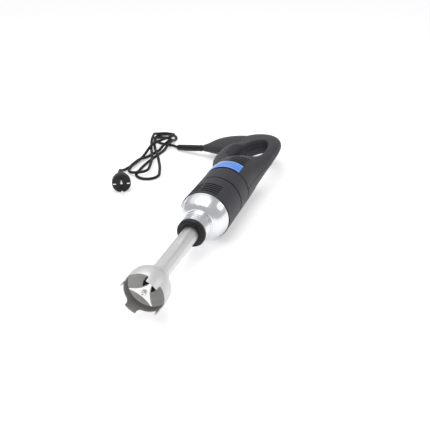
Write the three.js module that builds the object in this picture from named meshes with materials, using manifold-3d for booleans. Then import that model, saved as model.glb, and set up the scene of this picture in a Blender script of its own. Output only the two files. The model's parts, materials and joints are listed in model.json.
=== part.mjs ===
// Heavy-duty hand blender lying on its side, resting on its round body and on the tip of its cord guard.
// Millimetres, +Z up. The tool axis runs along +Y: bell guard towards -Y, handle loop towards +Y.
// Sizes inside the `tool` group are measured from the tool axis and from the front edge of the motor sleeve:
// u is sideways in the plane of the handle loop, v runs along the axis, w stands off that plane.
import * as THREE from 'three';
import { mergeVertices } from 'three/addons/utils/BufferGeometryUtils.js';
import Module from 'manifold-3d';

const wasm = await Module();
wasm.setup();

// ---------- driving dimensions ----------
const GAP = 0.3;                 // clearance between touching pieces
const BODY_R = 45;               // outside radius of sleeve, band and handle barrel
const WALL = 3;                  // moulded wall
const CHAMBER_R = BODY_R - WALL;
const NOSE_R = 43.6;             // front rim of the aluminium nose
const COLLAR_R = 24.6;           // threaded collar and lock ring
const COLLAR_FRONT = -56;
const TUBE_R = 13.9;
const TUBE_BORE = 12.7;
const TUBE_REAR = -25;
const TUBE_FRONT = -196;
const SHAFT_R = 4;
const RUN_R = SHAFT_R + GAP;     // running bore around a shaft
const BELL_R = 32.6;
const BELL_WALL = 1.5;
const BELL_RIM = -236;           // rim between the feet
const FOOT_TIP = -247;
const FOOT_ANGLE = 43.2;         // first foot, degrees from +u
const FOOT_HALF_ANGLE = 17;
const BLADE_R = 24;
const BLADE_V = -233.4;
const BLADE_THICK = 1.6;
const BLADE_ANGLE = 45.2;        // first arm, degrees from +u
const SLEEVE_END = 62.6;
const BAND_START = 65.4;
const BAND_END = 104.8;
const SHELL_START = 107.4;
const VENT_ROWS = 5;
const SLEEVE_VENT_V = 8;
const SLEEVE_VENT_PITCH = 6.6;
const REAR_VENT_V = 143.5;
const REAR_VENT_PITCH = 8.5;
const GUARD_TIP_R = 6.3;
const GUARD_TIP = new THREE.Vector3(-205, 353, 0);
const FLOOR_GAP = 0.4;
// The tool lies on its body and on the guard tip.
const ROLL = Math.asin((BODY_R - GUARD_TIP_R - FLOOR_GAP) / -GUARD_TIP.x);
const CORD_R = 3.1;
const PLUG_R = 18.75;
const PLUG_YAW = THREE.MathUtils.degToRad(29.9);
const PLUG_FACE = new THREE.Vector3(-220, 111, PLUG_R + FLOOR_GAP);
const PIN_R = 2.4;
const PIN_PITCH = 19;
const PIN_LENGTH = 19;

// ---------- finishes ----------
function finish(color, roughness, metalness) {
  return () => new THREE.MeshStandardMaterial({ color, roughness, metalness });
}

const castAluminium = finish(0xd5d7da, 0.22, 1);
const stainless = finish(0xc4c4c2, 0.34, 1);
const bladeSteel = finish(0xe2e2e0, 0.2, 1);
const shaftSteel = finish(0xa8a9ac, 0.3, 1);
const blackPlastic = finish(0x38393c, 0.62, 0);
const blackRubber = finish(0x151517, 0.8, 0);
const labelBlue = finish(0x3f7fd6, 0.35, 0);
const laminations = finish(0x6c6e73, 0.5, 0.8);
const copper = finish(0xb4672e, 0.4, 0.9);
const bronze = finish(0xa97c3f, 0.45, 0.9);
const brass = finish(0xc9a24a, 0.35, 0.9);
const carbon = finish(0x2b2b2d, 0.9, 0.1);
const fanNylon = finish(0xd9d6cc, 0.6, 0);
const boardGreen = finish(0x1f5a35, 0.5, 0.1);
const capacitorBlue = finish(0x24426e, 0.4, 0.1);
const zincPlate = finish(0xb9bcc2, 0.35, 1);

// ---------- geometry helpers ----------
const degrees = THREE.MathUtils.degToRad;

function toSolid(geometry) {
  const bare = geometry.index ? geometry.toNonIndexed() : geometry.clone();
  bare.deleteAttribute('normal');
  bare.deleteAttribute('uv');
  const merged = mergeVertices(bare, 1e-4);
  const vertProperties = new Float32Array(merged.attributes.position.array);
  const index = merged.index.array;
  const triVerts = [];
  for (let i = 0; i < index.length; i += 3) {
    const [a, b, c] = [index[i], index[i + 1], index[i + 2]];
    if (a !== b && b !== c && c !== a) triVerts.push(a, b, c);
  }
  const mesh = new wasm.Mesh({ numProp: 3, vertProperties, triVerts: new Uint32Array(triVerts) });
  return new wasm.Manifold(mesh);
}

function toGeometry(solid) {
  const mesh = solid.getMesh();
  const geometry = new THREE.BufferGeometry();
  const position = [];
  for (let i = 0; i < mesh.vertProperties.length; i += mesh.numProp) {
    position.push(mesh.vertProperties[i], mesh.vertProperties[i + 1], mesh.vertProperties[i + 2]);
  }
  geometry.setAttribute('position', new THREE.Float32BufferAttribute(position, 3));
  geometry.setIndex(Array.from(mesh.triVerts));
  geometry.computeVertexNormals();
  return geometry;
}

const placed = (geometry, matrix) => toSolid(geometry.clone().applyMatrix4(matrix));
const join = (solids) => solids.reduce((whole, solid) => whole.add(solid));
const cut = (solid, cutters) => cutters.reduce((rest, cutter) => rest.subtract(cutter), solid);

// Solid turned about the tool axis; points are [radius, v], outside climbing and inside falling.
function turned(points, segments = 36) {
  const profile = points.map(([r, v]) => new THREE.Vector2(r, v));
  if (points[0][0] > 0) profile.push(profile[0].clone());
  return toSolid(new THREE.LatheGeometry(profile, segments));
}

const ring = (inner, outer, v0, v1, segments = 36) =>
  turned([[inner, v0], [outer, v0], [outer, v1], [inner, v1]], segments);
const disc = (radius, v0, v1, segments = 24) =>
  turned([[0, v0], [radius, v0], [radius, v1], [0, v1]], segments);

function block(u0, u1, v0, v1, w0, w1) {
  const geometry = new THREE.BoxGeometry(u1 - u0, v1 - v0, w1 - w0);
  return toSolid(geometry.translate((u0 + u1) / 2, (v0 + v1) / 2, (w0 + w1) / 2));
}

// Outline in the u-w plane, extruded from v0 to v1.
function axialPrism(shape, v0, v1, curveSegments = 8) {
  const geometry = new THREE.ExtrudeGeometry(shape, { depth: v1 - v0, bevelEnabled: false, curveSegments });
  return toSolid(geometry.rotateX(Math.PI / 2).translate(0, v1, 0));
}

// Outline in the u-v plane, extruded from w0 to w1.
function platePrism(shape, w0, w1, curveSegments = 8) {
  const geometry = new THREE.ExtrudeGeometry(shape, { depth: w1 - w0, bevelEnabled: false, curveSegments });
  return toSolid(geometry.translate(0, 0, w0));
}

// Part of a ring between two angles, in degrees from +u towards +w.
function sector(inner, outer, from, to, v0, v1, curveSegments = 8) {
  const shape = new THREE.Shape();
  shape.absarc(0, 0, outer, degrees(from), degrees(to), false);
  shape.absarc(0, 0, inner, degrees(to), degrees(from), true);
  return axialPrism(shape, v0, v1, curveSegments);
}

// Post along w at (u, v).
function post(u, v, radius, w0, w1, segments = 16) {
  const geometry = new THREE.CylinderGeometry(radius, radius, w1 - w0, segments);
  return toSolid(geometry.rotateX(Math.PI / 2).translate(u, v, (w0 + w1) / 2));
}

// Round bar along a smooth route.
function bar(points, radius, steps, sides = 8) {
  const section = new THREE.Shape().absarc(0, 0, radius, 0, 2 * Math.PI);
  const extrudePath = new THREE.CatmullRomCurve3(points);
  const settings = { steps, extrudePath, bevelEnabled: false, curveSegments: sides / 2 };
  return new THREE.ExtrudeGeometry(section, settings);
}

// Skin through stations { at: [u, v, w], half: [across, thick], power }, each section a superellipse that
// stands square to `heading`, or to the route when no heading is given. `inset` shrinks every section.
function loft(stations, { rows = 20, sides = 32, heading = null, inset = 0 } = {}) {
  const smooth = (points) => new THREE.CatmullRomCurve3(points, false, 'catmullrom', 0.5);
  const route = smooth(stations.map((s) => new THREE.Vector3(...s.at)));
  const sizes = smooth(stations.map((s) => new THREE.Vector3(...s.half, s.power ?? 2)));
  const geometry = new THREE.CylinderGeometry(1, 1, 1, sides, rows);
  const position = geometry.attributes.position;
  const up = new THREE.Vector3(0, 0, 1);
  for (let i = 0; i < position.count; i += 1) {
    const t = THREE.MathUtils.clamp(position.getY(i) + 0.5, 0, 1);
    const centre = route.getPoint(t);
    const size = sizes.getPoint(t);
    const tangent = heading ?? route.getTangent(t).setZ(0).normalize();
    const across = new THREE.Vector3().crossVectors(tangent, up);
    const [x, z] = [position.getX(i), position.getZ(i)];
    const bulge = (c) => Math.sign(c) * Math.abs(c) ** (2 / size.z);
    const p = centre.addScaledVector(across, bulge(x) * Math.max(size.x - inset, 0.5));
    p.addScaledVector(up, bulge(z) * Math.max(size.y - inset, 0.5));
    position.setXYZ(i, p.x, p.y, p.z);
  }
  return toSolid(geometry);
}

// ---------- assembly ----------
const blender = new THREE.Group();
blender.name = 'hand_blender';
const tool = new THREE.Group();
tool.rotation.y = -ROLL;
tool.position.z = BODY_R;
blender.add(tool);

function add(name, solid, material, parent = tool) {
  const mesh = new THREE.Mesh(toGeometry(solid), material());
  mesh.name = name;
  parent.add(mesh);
  return mesh;
}

// ---------- nose, lock ring, sleeve and band ----------
function noseHousing() {
  const bearingSeat = 13.3;
  const ridges = [];
  const pitch = 5.4;
  for (let v = COLLAR_FRONT; v < -36; v += pitch) {
    ridges.push([COLLAR_R - 1.6, v], [COLLAR_R - 0.2, v + 1.6], [COLLAR_R - 0.2, v + 3.8]);
  }
  const dome = [
    [25.3, -33.4], [25.3, -29.6], [28.4, -28.4], [34, -24], [39, -16.5], [42.3, -7.5], [NOSE_R, -1.4],
    [NOSE_R, 0]];
  const spigot = [[CHAMBER_R - GAP, 0], [CHAMBER_R - GAP, 6], [38.6, 6]];
  const inside = [
    [38.6, -2], [35, -12], [29, -19], [17, -21], [17, -10.2], [bearingSeat, -10.2], [bearingSeat, -20],
    [9, -20], [9, -24.6], [TUBE_R + GAP, -24.6]];
  return turned([[TUBE_R + GAP, COLLAR_FRONT], ...ridges, ...dome, ...spigot, ...inside], 28);
}

function motorSleeve() {
  const postAngle = 95.3;
  const postHalf = 2.2;
  const reach = 40;
  const slotHalf = 1.6;
  const slots = [];
  for (let row = 0; row < VENT_ROWS; row += 1) {
    const v = SLEEVE_VENT_V + SLEEVE_VENT_PITCH * row;
    for (const side of [-1, 1]) {
      const near = postAngle + side * postHalf;
      const far = near + side * reach;
      const [from, to] = side > 0 ? [near, far] : [far, near];
      slots.push(sector(CHAMBER_R - 2, BODY_R + 2, from, to, v - slotHalf, v + slotHalf, 3));
    }
  }
  const tube = turned([
    [CHAMBER_R, GAP], [BODY_R - 0.8, GAP], [BODY_R, GAP + 0.8], [BODY_R, SLEEVE_END - 0.8],
    [BODY_R - 0.8, SLEEVE_END], [CHAMBER_R, SLEEVE_END],
  ], 32);
  return cut(tube, slots);
}

function motorBand() {
  const spigot = CHAMBER_R - GAP;
  const bore = spigot - 2.6;
  const [front, rear] = [BAND_START - 8, BAND_END + 9];
  return turned([
    [bore, front], [spigot, front], [spigot, BAND_START], [BODY_R - 0.8, BAND_START],
    [BODY_R, BAND_START + 0.8], [BODY_R, BAND_END - 0.8], [BODY_R - 0.8, BAND_END], [spigot, BAND_END],
    [spigot, rear], [bore, rear],
  ], 32);
}

add('nose_housing', noseHousing(), castAluminium);
add('motor_sleeve', motorSleeve(), blackPlastic);
add('motor_band', motorBand(), blackPlastic);
add('lock_ring', turned([
  [TUBE_R + GAP, -64.4], [17, -66], [21, -66], [23.6, -64.9], [COLLAR_R, -62.4], [COLLAR_R, -57.2],
  [23.8, COLLAR_FRONT - GAP], [TUBE_R + GAP, COLLAR_FRONT - GAP],
], 28), blackRubber);

// ---------- handle: barrel running into a closed loop, with a horn to the cord guard ----------
const ALONG = new THREE.Vector3(0, 1, 0);
const span = (v, left, right, thick, power) => (
  { at: [(left + right) / 2, v, 0], half: [(right - left) / 2, thick], power });
const LOOP = [
  span(SHELL_START, -45, 45, 45, 2), span(130, -45, 45, 45, 2), span(153, -45.2, 45, 44, 2),
  span(176, -47.5, 46.2, 39.5, 2), span(199, -51.5, 48.7, 32, 2.1), span(222, -56, 51, 25.5, 2.2),
  span(245, -59.5, 52.8, 21.5, 2.3), span(268, -61, 52.8, 19.5, 2.4), span(291, -62, 52.6, 18.3, 2.4),
  span(314, -62, 51.4, 17.4, 2.4), span(337, -61.5, 47.4, 16.6, 2.4), span(358, -60, 38.6, 15.6, 2.4),
  span(374, -56, 26, 13.6, 2.3), span(384, -48, 10, 10.4, 2.2), span(389, -38, -3, 4.5, 2),
];
const limb = (u, v, w, half) => ({ at: [u, v, w], half: [half, half] });
const LEFT_LIMB = [
  limb(-20, 150, 20, 16), limb(-29, 176, 18, 18), limb(-37, 204, 15, 19.5), limb(-41, 234, 12.5, 19.5),
  limb(-42, 264, 10.5, 19), limb(-39.5, 292, 6.5, 18.5), limb(-33, 316, 0, 16.5),
];
const horn = (u, v, across, thick) => ({ at: [u, v, 0], half: [across, thick], power: 2.2 });
const HORN = [
  horn(-30, 350, 36, 13), horn(-55, 351, 40, 15), horn(-78, 349.5, 40, 15.5), horn(-96, 346.5, 35, 14.6),
  horn(-111, 343, 25.5, 12.2), horn(-124, 340.4, 14, 9), horn(-136.6, 339.4, 7.4, 7.2),
];
const HAND_HOLE = [
  [-26, 232], [-26, 262], [-25.5, 284], [-17, 309], [-2, 326], [13, 328], [24, 315], [30.5, 290], [33, 264],
  [31.5, 238], [24, 219], [8, 212], [-12, 212.5], [-23, 219],
];
const SCREWS = [[38, 150], [-38, 150], [42.5, 262], [35, 318], [2, 358], [-46, 322], [-88, 362]];
const CLAMP_U = -97;
const CLAMP_SCREWS = [330, 352];
const SCREW_SEAT = -8;

const handHole = (offset) => {
  const middle = new THREE.Vector2(3, 268);
  const outline = HAND_HOLE.map(([u, v]) => {
    const point = new THREE.Vector2(u, v);
    return point.add(point.clone().sub(middle).normalize().multiplyScalar(offset));
  });
  return platePrism(new THREE.Shape(new THREE.SplineCurve([...outline, outline[0]]).getPoints(28)), -60, 60);
};

function handleShells() {
  const skin = (inset, detail) => join([
    loft(LOOP, { rows: 2 * detail, sides: 3 * detail + 2, heading: ALONG, inset }),
    loft(LEFT_LIMB, { rows: detail, sides: 2 * detail, inset }),
    loft(HORN, { rows: detail, sides: 2 * detail, inset }),
  ]);
  const mouth = disc(CHAMBER_R, SHELL_START - 1, SHELL_START + 20, 28);
  const cordWay = bar([new THREE.Vector3(-140, 339.2, 0), new THREE.Vector3(-118, 341.6, 0)], 4.4, 1, 10);
  const cavity = join([skin(WALL, 5), mouth, toSolid(cordWay)]).subtract(handHole(WALL));
  const body = skin(0, 8).subtract(handHole(0));
  const wall = body.subtract(cavity);
  const triggerWindow = block(-31, -24, 239, 263, -5.6, 5.6);

  const clampPosts = CLAMP_SCREWS.map((v) => post(CLAMP_U, v, 3.2, -20, 3, 8));
  const upperBosses = SCREWS.map(([u, v]) => post(u, v, 4.6, GAP / 2, 60, 8));
  const lowerBosses = SCREWS.map(([u, v]) => post(u, v, 5.8, -60, -GAP / 2, 8));
  const inside = (solid) => solid.intersect(body);
  const shaftHoles = SCREWS.map(([u, v]) => post(u, v, 1.9, -40, 12, 8));
  const headPockets = SCREWS.map(([u, v]) => post(u, v, 3.7, -60, SCREW_SEAT, 10));
  const clampHoles = CLAMP_SCREWS.map((v) => post(CLAMP_U, v, 1.5, -7, 4, 8));

  const vents = [];
  const slotHalf = 2;
  for (let row = 0; row < VENT_ROWS; row += 1) {
    const v = REAR_VENT_V + REAR_VENT_PITCH * row;
    vents.push(block(1, 30.5, v - slotHalf, v + slotHalf, 10, 60));
  }
  const above = block(-160, 80, 90, 420, GAP / 2, 80);
  const below = block(-160, 80, 90, 420, -80, -GAP / 2);
  const upper = cut(
    join([wall.intersect(above), ...upperBosses.map(inside)]), [...shaftHoles, ...vents, triggerWindow]);
  const lower = cut(
    join([wall.intersect(below), ...lowerBosses.map(inside), ...clampPosts.map(inside)]),
    [...shaftHoles, ...headPockets, ...clampHoles, triggerWindow]);
  return { upper, lower };
}

const shells = handleShells();
add('handle_shell_upper', shells.upper, blackPlastic);
add('handle_shell_lower', shells.lower, blackPlastic);
add('label_plate', sector(BODY_R + GAP, BODY_R + 0.9, 46.2, 133.8, 108.6, 136, 12), labelBlue);
SCREWS.forEach(([u, v], i) => {
  const head = post(u, v, 3.3, SCREW_SEAT - 2.8, SCREW_SEAT - GAP, 12);
  add(`housing_screw_${i + 1}`, head.add(post(u, v, 1.5, SCREW_SEAT - 1, 11, 8)), zincPlate);
});
const guard = (u, v, radius) => ({ at: [u, v, 0], half: [radius, radius] });
add('cord_guard', loft([
  guard(-138.2, 339.5, 6.9), guard(-152, 341.6, 7.2), guard(-178, 346.4, 7.3),
  guard(GUARD_TIP.x, GUARD_TIP.y, GUARD_TIP_R),
], { rows: 6, sides: 14 }), blackRubber);

// ---------- removable shaft: tube, bell guard, bushes, drive shaft and blade ----------
function bellGuard() {
  const inner = BELL_R - BELL_WALL;
  const outside = [
    [BELL_R, FOOT_TIP], [BELL_R, -222], [31.4, -214], [27.6, -206.6], [21.4, -200], [17.4, -195.6],
    [15.7, -190], [15.4, -184]];
  const inside = [
    [TUBE_R + GAP, -184], [TUBE_R + GAP, -197.5], [16.6, -197.5], [20.4, -201.2], [26.4, -207.6],
    [30, -214.8], [inner, -222.4], [inner, FOOT_TIP]];
  const bell = turned([...outside, ...inside], 32);
  const gapHalf = BELL_R * Math.sin(degrees(45 - FOOT_HALF_ANGLE));
  const corner = 5;
  const opening = new THREE.Shape();
  opening.moveTo(-gapHalf, FOOT_TIP - 3);
  opening.lineTo(gapHalf, FOOT_TIP - 3);
  opening.lineTo(gapHalf, BELL_RIM - corner);
  opening.absarc(gapHalf - corner, BELL_RIM - corner, corner, 0, Math.PI / 2, false);
  opening.absarc(-gapHalf + corner, BELL_RIM - corner, corner, Math.PI / 2, Math.PI, false);
  const radial = new THREE.ExtrudeGeometry(opening, { depth: BELL_R, bevelEnabled: false, curveSegments: 4 });
  const gaps = [0, 1, 2, 3].map((k) => {
    const angle = degrees(FOOT_ANGLE + 45 + 90 * k);
    return placed(radial, new THREE.Matrix4().makeRotationY(Math.PI / 2 - angle).multiply(
      new THREE.Matrix4().makeTranslation(0, 0, 20)));
  });
  return cut(bell, gaps);
}

function bladeStar() {
  const tipHalf = 2;
  const valley = 6.4;
  const shape = new THREE.Shape();
  const polar = (radius, angle, side) => new THREE.Vector2(
    radius * Math.cos(angle) - side * Math.sin(angle), radius * Math.sin(angle) + side * Math.cos(angle));
  for (let arm = 0; arm < 3; arm += 1) {
    const angle = degrees(BLADE_ANGLE + 120 * arm);
    const trailing = polar(BLADE_R, angle, -tipHalf);
    const leading = polar(BLADE_R, angle, tipHalf);
    const waist = polar(valley, angle + degrees(60), 0);
    if (arm === 0) shape.moveTo(trailing.x, trailing.y);
    shape.lineTo(leading.x, leading.y);
    const next = polar(BLADE_R, angle + degrees(120), -tipHalf);
    shape.quadraticCurveTo(waist.x, waist.y, next.x, next.y);
  }
  const hole = disc(2.3, BLADE_V - 4, BLADE_V + 2, 12);
  return axialPrism(shape, BLADE_V - BLADE_THICK, BLADE_V, 8).subtract(hole);
}

add('shaft_tube', ring(TUBE_BORE, TUBE_R, TUBE_FRONT, TUBE_REAR, 28), stainless);
add('bell_guard', bellGuard(), stainless);
add('bell_seal', turned([
  [RUN_R, -221], [9.2, -221], [10.8, -218], [11.6, -197], [12.4, -195], [12.4, -186], [RUN_R, -186],
], 20), blackRubber);
add('lower_bush', ring(RUN_R, 12.4, -185.7, -172, 20), bronze);
add('upper_bush', ring(RUN_R, 12.4, -84, -70, 20), bronze);
add('drive_shaft', turned([
  [2.3, BLADE_V + GAP], [SHAFT_R, BLADE_V + GAP], [SHAFT_R, -58], [0, -58], [0, -225], [2.3, -225],
], 16), shaftSteel);
add('blade', bladeStar(), bladeSteel);
add('blade_screw', turned([
  [0, -239.4], [2.2, -239.4], [3.8, -238], [4, BLADE_V - BLADE_THICK - GAP], [2, BLADE_V - BLADE_THICK - GAP],
  [2, -226], [0, -226],
], 16), bladeSteel);

// Jaw coupling: two jaws on the shaft's half stand in the gaps of the motor's half.
const jaw = (from, v0, v1) => sector(2.6, 8, from, from + 70, v0, v1, 3);
const jaws = (from, v0, v1) => join([jaw(from, v0, v1), jaw(from + 180, v0, v1)]);
const couplingPlate = (v0, v1) => disc(8, v0, v1, 18);
const shaftSocket = disc(RUN_R, -63, -57.7, 16);
add('shaft_coupling', couplingPlate(-62, -46).subtract(shaftSocket).add(jaws(10, -46.5, -40.3)), shaftSteel);

// ---------- motor ----------
const motorSocket = disc(RUN_R, -32.3, -27, 16);
add('motor_coupling', couplingPlate(-40, -28).subtract(motorSocket).add(jaws(100, -45.7, -39.5)), shaftSteel);
add('motor_shaft', disc(SHAFT_R, -32, 126, 16), shaftSteel);
add('front_bearing', ring(RUN_R, 13, -19.7, -11.5, 24), zincPlate);
add('rear_bearing', ring(RUN_R, 11, 113.3, 121, 24), zincPlate);

function coolingFan() {
  const plate = ring(RUN_R, 34, 17.4, 19.4, 24);
  const hub = ring(RUN_R, 9, 6, 18, 16);
  const vane = new THREE.BoxGeometry(26, 12, 1.6).translate(21, 12, 0);
  const vanes = [];
  for (let i = 0; i < 9; i += 1) {
    vanes.push(placed(vane, new THREE.Matrix4().makeRotationY(degrees(40 * i))));
  }
  return join([plate, hub, ...vanes]);
}

function armatureCore() {
  const slots = 12;
  const shape = new THREE.Shape();
  for (let i = 0; i < slots; i += 1) {
    const middle = (2 * Math.PI * i) / slots;
    const [root, tip] = [13, 18.5];
    const [rootHalf, tipHalf] = [0.15, 0.19];
    const corners = [
      [root, middle - rootHalf], [tip, middle - tipHalf], [tip, middle + tipHalf], [root, middle + rootHalf]];
    corners.forEach(([r, a], k) => {
      const point = [r * Math.cos(a), r * Math.sin(a)];
      if (i === 0 && k === 0) shape.moveTo(...point);
      else shape.lineTo(...point);
    });
  }
  return axialPrism(shape, 34, 76).subtract(disc(RUN_R, 33, 77, 16));
}

const winding = (v0, v1) => turned([
  [RUN_R + 1, v0], [12, v0], [16, v0 + 2.4], [17, (v0 + v1) / 2], [16, v1 - 2.4], [12, v1], [RUN_R + 1, v1],
], 16);
add('cooling_fan', coolingFan(), fanNylon);
add('armature_core', armatureCore(), laminations);
add('armature_winding_front', winding(22, 33.7), copper);
add('armature_winding_rear', winding(76.3, 88), copper);
add('commutator', ring(RUN_R, 11, 90, 104, 20), copper);

function statorCore() {
  const yoke = ring(30.5, 36, 32, 78, 28);
  const poles = [0, 180].flatMap((turn) => {
    const shoe = sector(19.6, 21.6, turn - 52, turn + 52, 32, 78, 5);
    const neck = block(20.6, 32, 32, 78, -8.6, 8.6);
    return [shoe, turn === 0 ? neck : neck.mirror([1, 0, 0])];
  });
  return join([yoke, ...poles]);
}

function fieldCoil(side) {
  const [near, far] = [22, 26];
  const opening = block(near - 1, far + 1, 31.7, 78.3, -8.9, 8.9);
  const loop = block(near, far, 24, 86, -14.6, 14.6).subtract(opening);
  return side > 0 ? loop : loop.mirror([1, 0, 0]);
}

function bearingBracket() {
  const plate = turned([
    [RUN_R + 1.5, 108], [38.6, 108], [38.6, 111.6], [14.2, 111.6], [14.2, 121], [11.3, 121], [11.3, 111.6],
    [RUN_R + 1.5, 111.6],
  ], 24);
  return cut(plate, [0, 1, 2, 3].map((k) => sector(19, 33, 90 * k + 25, 90 * k + 65, 107, 112, 3)));
}

function brushHolder(side) {
  const box = block(13.5, 34, 91.8, 103.2, -5.6, 5.6).subtract(block(12, 32, 93.8, 101.2, -3.6, 3.6));
  return side > 0 ? box : box.mirror([1, 0, 0]);
}

function carbonBrush(side) {
  const brush = block(11.4, 25, 94.2, 100.8, -3.2, 3.2);
  return side > 0 ? brush : brush.mirror([1, 0, 0]);
}

add('stator_core', statorCore(), laminations);
add('bearing_bracket', bearingBracket(), castAluminium);
for (const [label, side] of [['right', 1], ['left', -1]]) {
  add(`field_coil_${label}`, fieldCoil(side), copper);
  add(`brush_holder_${label}`, brushHolder(side), brass);
  add(`carbon_brush_${label}`, carbonBrush(side), carbon);
}

// ---------- handle electrics ----------
function triggerBar() {
  const face = new THREE.Shape();
  face.moveTo(-21, 226);
  face.lineTo(-14, 226);
  face.quadraticCurveTo(-10.6, 226, -10.6, 230);
  face.quadraticCurveTo(-12.8, 254, -10.6, 278);
  face.quadraticCurveTo(-10.6, 282, -14, 282);
  face.lineTo(-21, 282);
  return platePrism(face, -8, 8, 6).add(block(-34, -21, 241, 261, -4.6, 4.6));
}

function springCoil() {
  const turns = 3;
  const [start, end, radius, v] = [-40.6, -34.4, 3.2, 251];
  const points = [];
  for (let i = 0; i <= turns * 8; i += 1) {
    const angle = (2 * Math.PI * i) / 8;
    const along = THREE.MathUtils.lerp(start + 0.5, end - 0.5, i / (turns * 8));
    points.push(new THREE.Vector3(along, v + radius * Math.cos(angle), radius * Math.sin(angle)));
  }
  return toSolid(bar(points, 0.4, 24, 4));
}

add('trigger', triggerBar(), blackPlastic);
add('trigger_spring', springCoil(), shaftSteel);
add('switch_body', block(-53, -41, 238, 264, -6.2, 6.2), blackPlastic);
add('speed_board', block(-22, 22, 150, 198, -20, -18.4), boardGreen);
add('heat_sink', join([block(6, 20, 158, 188, -18.1, -16)].concat([7, 11, 15, 19].map(
  (u) => block(u - 0.8, u + 0.8, 158, 188, -17, -6)))), castAluminium);
const capacitor = new THREE.CylinderGeometry(6, 6, 24, 20).translate(-10, 173, -11.7);
add('suppression_capacitor', toSolid(capacitor), capacitorBlue);
add('supply_lead', toSolid(bar([
  new THREE.Vector3(-136, 339.4, 0), new THREE.Vector3(-112, 341.6, 0), new THREE.Vector3(-88, 339, 0),
  new THREE.Vector3(-68, 330, 0), new THREE.Vector3(-53, 314, 0), new THREE.Vector3(-48, 292, 0),
  new THREE.Vector3(-47.5, 266, 0),
], CORD_R, 12)), blackRubber);
const clampBar = block(CLAMP_U - 5, CLAMP_U + 5, CLAMP_SCREWS[0] - 4, CLAMP_SCREWS[1] + 4, 3.4, 6);
add('cable_clamp', cut(clampBar, CLAMP_SCREWS.map((v) => post(CLAMP_U, v, 1.9, 0, 10, 12))), blackPlastic);
CLAMP_SCREWS.forEach((v, i) => {
  const head = post(CLAMP_U, v, 2.9, 6.3, 8, 12);
  add(`clamp_screw_${i + 1}`, head.add(post(CLAMP_U, v, 1.2, -5, 7, 8)), zincPlate);
});

// ---------- mains cord and plug, lying on the floor ----------
const HANK_HEIGHT = 16;
const HANK_MIDDLE = new THREE.Vector2(-234, 305);
const HANK_HEADING = new THREE.Vector2(-0.273, 0.962);
const HANK_OUTLINE = [
  [0, -15], [38, -27], [80, -32], [112, -24], [126, 0], [112, 25], [80, 31], [38, 22], [0, 14], [-30, 22],
  [-65, 33], [-98, 42], [-118, 36], [-127, 8], [-118, -18], [-80, -30], [-36, -25],
];
const LEAD_ROUTE = [[-204.4, 352.7, 5.3], [-211, 354, 4], [-215, 355, 3.6]];
const TAIL_ROUTE = [
  [-252, 296, 3.6], [-256, 276, 3.5], [-258.5, 250, 3.5], [-260, 224, 3.5], [-261.5, 200, 5], [-261, 186, 10],
  [-257.4, 175.5, 16], [-252.2, 167, 19.15], [-248.7, 160.9, 19.15],
];

function hank() {
  const outline = HANK_OUTLINE.map(([along, across]) => new THREE.Vector2(
    HANK_MIDDLE.x + along * HANK_HEADING.x - across * HANK_HEADING.y,
    HANK_MIDDLE.y + along * HANK_HEADING.y + across * HANK_HEADING.x));
  const shape = new THREE.Shape(new THREE.SplineCurve([...outline, outline[0]]).getPoints(48));
  return platePrism(shape, FLOOR_GAP, FLOOR_GAP + HANK_HEIGHT);
}

const route = (points) => points.map((point) => new THREE.Vector3(...point));
add('cord_hank', hank(), blackRubber, blender);
add('cord_lead', toSolid(bar(route(LEAD_ROUTE), CORD_R, 2)), blackRubber, blender);
add('cord_tail', toSolid(bar(route(TAIL_ROUTE), CORD_R, 14)), blackRubber, blender);

const plug = new THREE.Group();
plug.position.copy(PLUG_FACE);
plug.rotation.z = PLUG_YAW;
blender.add(plug);

function plugBody() {
  const body = turned([
    [0, 0], [17.6, 0], [PLUG_R, 1.2], [PLUG_R, 13], [17.4, 17], [13.4, 24], [9.8, 32], [8.4, 40], [7.4, 46],
    [5.2, 48], [4.8, 57], [0, 57],
  ], 24);
  const notches = [-1, 1].map((side) => block(side * 19.5 - 6, side * 19.5 + 6, -1, 9, -2.6, 2.6));
  const socket = disc(PIN_R + GAP, -1, 7, 12);
  const pinSockets = [-1, 1].map((side) => socket.translate([0, 0, (side * PIN_PITCH) / 2]));
  return cut(body, [...notches, ...pinSockets]);
}

function plugPin(side) {
  const pin = turned([
    [0, -PIN_LENGTH], [1.4, -PIN_LENGTH], [PIN_R, 1.4 - PIN_LENGTH], [PIN_R, 6.6], [0, 6.6],
  ], 12);
  return pin.translate([0, 0, (side * PIN_PITCH) / 2]);
}

add('plug_body', plugBody(), blackRubber, plug);
add('plug_pin_upper', plugPin(1), zincPlate, plug);
add('plug_pin_lower', plugPin(-1), zincPlate, plug);
add('earth_clip_right', block(13.9, 16.4, 0.2, 8.6, -1.9, 1.9), zincPlate, plug);
add('earth_clip_left', block(-16.4, -13.9, 0.2, 8.6, -1.9, 1.9), zincPlate, plug);

// ---------- origin: under the middle of the tool's own box, without the cord and plug ----------
blender.updateMatrixWorld(true);
const extent = new THREE.Box3().setFromObject(tool, true);
const middle = extent.getCenter(new THREE.Vector3());
blender.position.set(-middle.x, -middle.y, -extent.min.z);
blender.updateMatrixWorld(true);

export default blender;
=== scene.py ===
"""A heavy-duty immersion blender lying on a pale studio floor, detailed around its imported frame.

Sizes inside the classes are millimetres. On the tool, u runs to the side in the plane of the handle
loop, v along the tool from the front edge of the motor sleeve, and w stands off that plane. On the
floor, x and y start under the tool's axis and z starts at the floor. The frame, the studio's lights and
every finished piece are in metres.
"""

import json
import logging
import math
from collections.abc import Iterable, Sequence
from dataclasses import dataclass
from enum import Enum

import bmesh
import bpy
from mathutils import Euler, Matrix, Vector


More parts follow.
